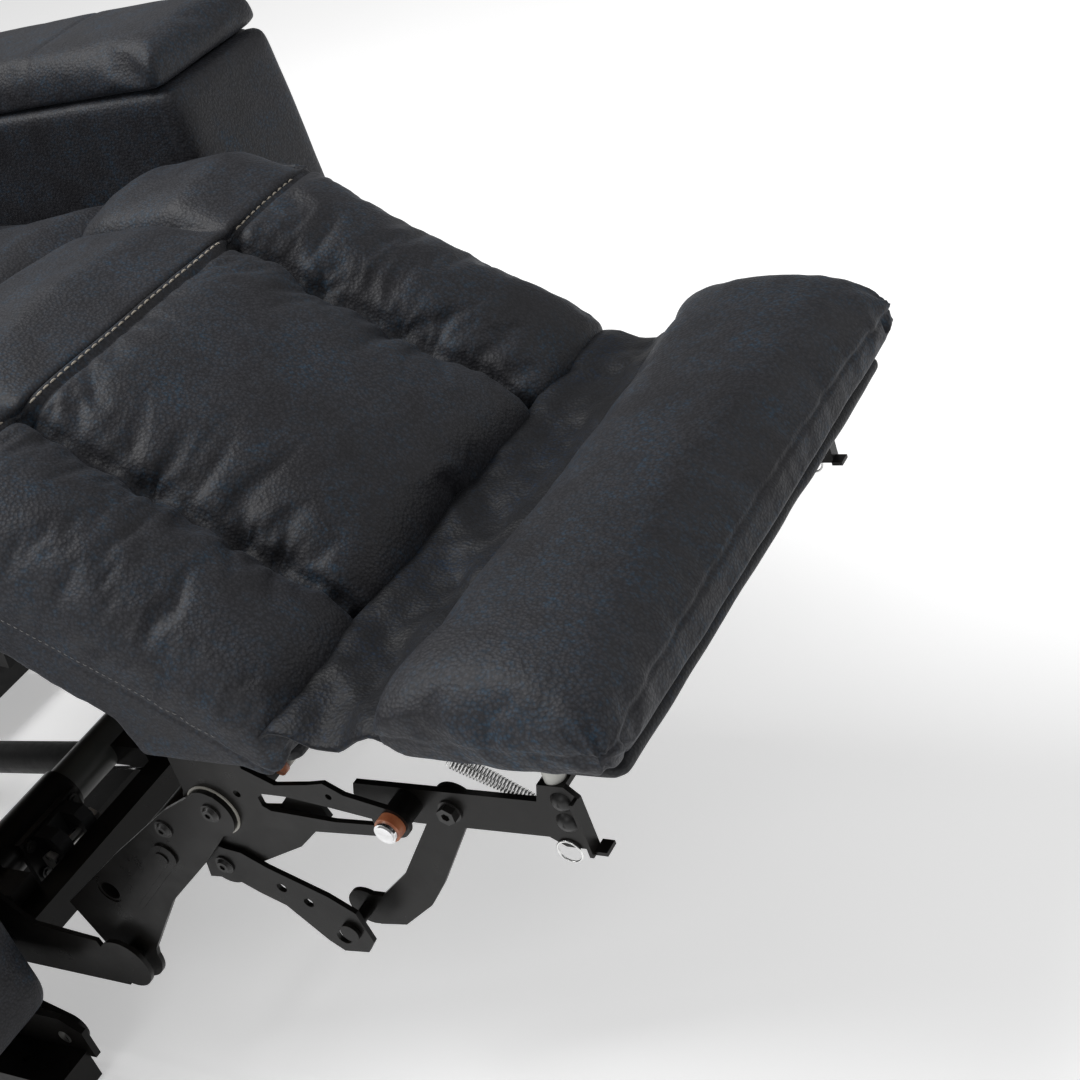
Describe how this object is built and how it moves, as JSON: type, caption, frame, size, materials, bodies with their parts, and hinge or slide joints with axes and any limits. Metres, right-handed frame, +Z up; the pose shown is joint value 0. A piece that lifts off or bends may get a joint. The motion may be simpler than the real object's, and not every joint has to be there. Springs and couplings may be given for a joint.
{
  "type": "lift recliner chair",
  "caption": "Power lift recliner chair with an extended padded leg rest on a steel linkage, reclining back, padded arms, lifting floor base and a button handset.",
  "frame": {"origin": "centre of the bounding box on the floor, with the leg rest out and the back part way down", "axes": "+X is the sitter's left, -Y is where the sitter faces, +Z is up"},
  "size_m": [0.918, 1.5346, 1.1624],
  "materials": {
    "black_steel": "satin black powder coat",
    "grey_paint": "satin grey paint",
    "dark_fasteners": "dark oxide",
    "zinc": "zinc plated",
    "chromed_rod": "polished",
    "spring_wire": "bright wire",
    "black_plastic": "fine texture",
    "nylon": "natural",
    "bronze_bush": "smooth",
    "grey_bumper": "matte",
    "rubber": "matte",
    "plywood": "raw",
    "wrapped_board": "plywood wrapped in black lining cloth",
    "button_plastic": "smooth",
    "upholstery": "brushed, nubuck-like, mottled"
  },
  "bodies": {
    "base": {"floor_frame": "black_steel", "rubber_glides": "rubber", "base_brackets": "black_steel", "power_supply": "black_plastic"},
    "lift_arm": {"lift_arms": "black_steel", "lift_pins": "zinc"},
    "front_link": {"front_links": "black_steel", "link_pins": "zinc"},
    "lift_housing": {"lift_motor": "black_plastic"},
    "lift_piston": {"lift_rod": "chromed_rod"},
    "carriage": {"side_plates": "black_steel", "square_subframe": "black_steel", "grey_cross_tube": "grey_paint", "tube_saddle": "black_steel", "saddle_screws": "dark_fasteners", "fork_clevis": "black_plastic", "clevis_bolt": "zinc", "motor_mounts": "black_steel", "recline_motor": "black_plastic", "seat_frame": "plywood", "seat_springs": "zinc", "seat_cushion": "upholstery", "knee_pad": "upholstery", "arm_boxes": "upholstery", "arm_pads": "upholstery", "side_pockets": "upholstery", "handset": "black_plastic"},
    "leg_housing": {"leg_motor": "black_plastic"},
    "leg_piston": {"leg_rod": "chromed_rod"},
    "recline_piston": {"recline_rod": "chromed_rod"},
    "swing": {"swing_arms": "black_steel", "arm_bolts": "dark_fasteners", "ring_washers": "nylon"},
    "calf": {"ring_plates": "black_steel", "inner_plates": "black_steel", "short_links": "black_steel", "link_bolts": "dark_fasteners", "nose_bushes": "bronze_bush", "nose_caps": "chromed_rod", "calf_cross_bar": "black_steel", "calf_board": "wrapped_board", "calf_pad": "upholstery"},
    "foot": {"footrest_bars": "black_steel", "end_brackets": "black_steel", "dome_rivets": "dark_fasteners", "bumpers": "grey_bumper", "coil_springs": "spring_wire", "steel_rings": "spring_wire", "hex_bolts": "dark_fasteners", "foot_board": "wrapped_board", "foot_pad": "upholstery"},
    "drop": {"drop_links": "black_steel"},
    "back": {"back_frame": "plywood", "back_brackets": "black_steel", "back_shell": "upholstery", "lumbar_cushion": "upholstery", "shoulder_cushion": "upholstery", "head_cushion": "upholstery"},
    "button_up": {"raise_button": "button_plastic"},
    "button_down": {"lower_button": "button_plastic"}
  },
  "joints": [
    {"name": "leg_rest", "type": "hinge", "parent": "carriage", "child": "swing", "pos_m": [0, -0.20754, 0.1317], "axis": [1, 0, 0], "range_deg": [-75, 0], "deforming": ["knee_pad"]},
    {"name": "calf_turn", "type": "hinge", "parent": "swing", "child": "calf", "pos_m": [0, -0.38834, 0.311], "axis": [1, 0, 0], "range_deg": [0, 120.73]},
    {"name": "foot_fold", "type": "hinge", "parent": "calf", "child": "foot", "pos_m": [0, -0.55434, 0.32], "axis": [1, 0, 0], "range_deg": [0, 27.44]},
    {"name": "drop_link_turn", "type": "hinge", "parent": "foot", "child": "drop", "pos_m": [0, -0.58734, 0.316], "axis": [1, 0, 0], "range_deg": [-25, 0]},
    {"name": "leg_housing_tilt", "type": "hinge", "parent": "carriage", "child": "leg_housing", "pos_m": [0, 0.20266, 0.286], "axis": [1, 0, 0], "range_deg": [0, 0.63704]},
    {"name": "leg_rod_slide", "type": "slide", "parent": "leg_housing", "child": "leg_piston", "axis": [0, -0.9766, -0.2149], "range_m": [-0.09577, 0]},
    {"name": "lift", "type": "hinge", "parent": "base", "child": "lift_arm", "pos_m": [0, -0.02734, 0.045], "axis": [1, 0, 0], "range_deg": [0, 50]},
    {"name": "carriage_tilt", "type": "hinge", "parent": "lift_arm", "child": "carriage", "pos_m": [0, 0.27266, 0.1], "axis": [1, 0, 0], "range_deg": [-25, 0]},
    {"name": "front_link_turn", "type": "hinge", "parent": "base", "child": "front_link", "pos_m": [0, -0.10552, 0.04768], "axis": [1, 0, 0], "range_deg": [0, 51.55]},
    {"name": "lift_housing_tilt", "type": "hinge", "parent": "base", "child": "lift_housing", "pos_m": [0, 0.45266, 0.058], "axis": [1, 0, 0], "range_deg": [-3.37, 0]},
    {"name": "lift_rod_slide", "type": "slide", "parent": "lift_housing", "child": "lift_piston", "axis": [0, -0.9952, 0.0974], "range_m": [0, 0.12517]},
    {"name": "recline", "type": "hinge", "parent": "carriage", "child": "back", "pos_m": [0, 0.41766, 0.47], "axis": [-1, 0, 0], "range_deg": [-13, 30]},
    {"name": "recline_rod_slide", "type": "slide", "parent": "carriage", "child": "recline_piston", "axis": [0, 1, 0], "range_m": [-0.0495, 0.0213]},
    {"name": "raise_button_press", "type": "slide", "parent": "carriage", "child": "button_up", "axis": [-1, 0, 0], "range_m": [0, 0.0012], "stiffness_N_per_m": 400},
    {"name": "lower_button_press", "type": "slide", "parent": "carriage", "child": "button_down", "axis": [-1, 0, 0], "range_m": [0, 0.0012], "stiffness_N_per_m": 400}
  ],
  "couplings": [
    {"joint": "calf_turn", "follows": "leg_rest", "ratio": -1.6098},
    {"joint": "foot_fold", "follows": "leg_rest", "ratio": -0.36585},
    {"joint": "drop_link_turn", "follows": "leg_rest", "ratio": 0.33335},
    {"joint": "leg_housing_tilt", "follows": "leg_rest", "ratio": -0.008493},
    {"joint": "leg_rod_slide", "follows": "leg_rest", "m_per_rad": 0.073164},
    {"joint": "carriage_tilt", "follows": "lift", "ratio": -0.5},
    {"joint": "front_link_turn", "follows": "lift", "ratio": 1.0311},
    {"joint": "lift_housing_tilt", "follows": "lift", "ratio": -0.067374},
    {"joint": "lift_rod_slide", "follows": "lift", "m_per_rad": 0.14343},
    {"joint": "recline_rod_slide", "follows": "recline", "m_per_rad": -0.0935}
  ]
}
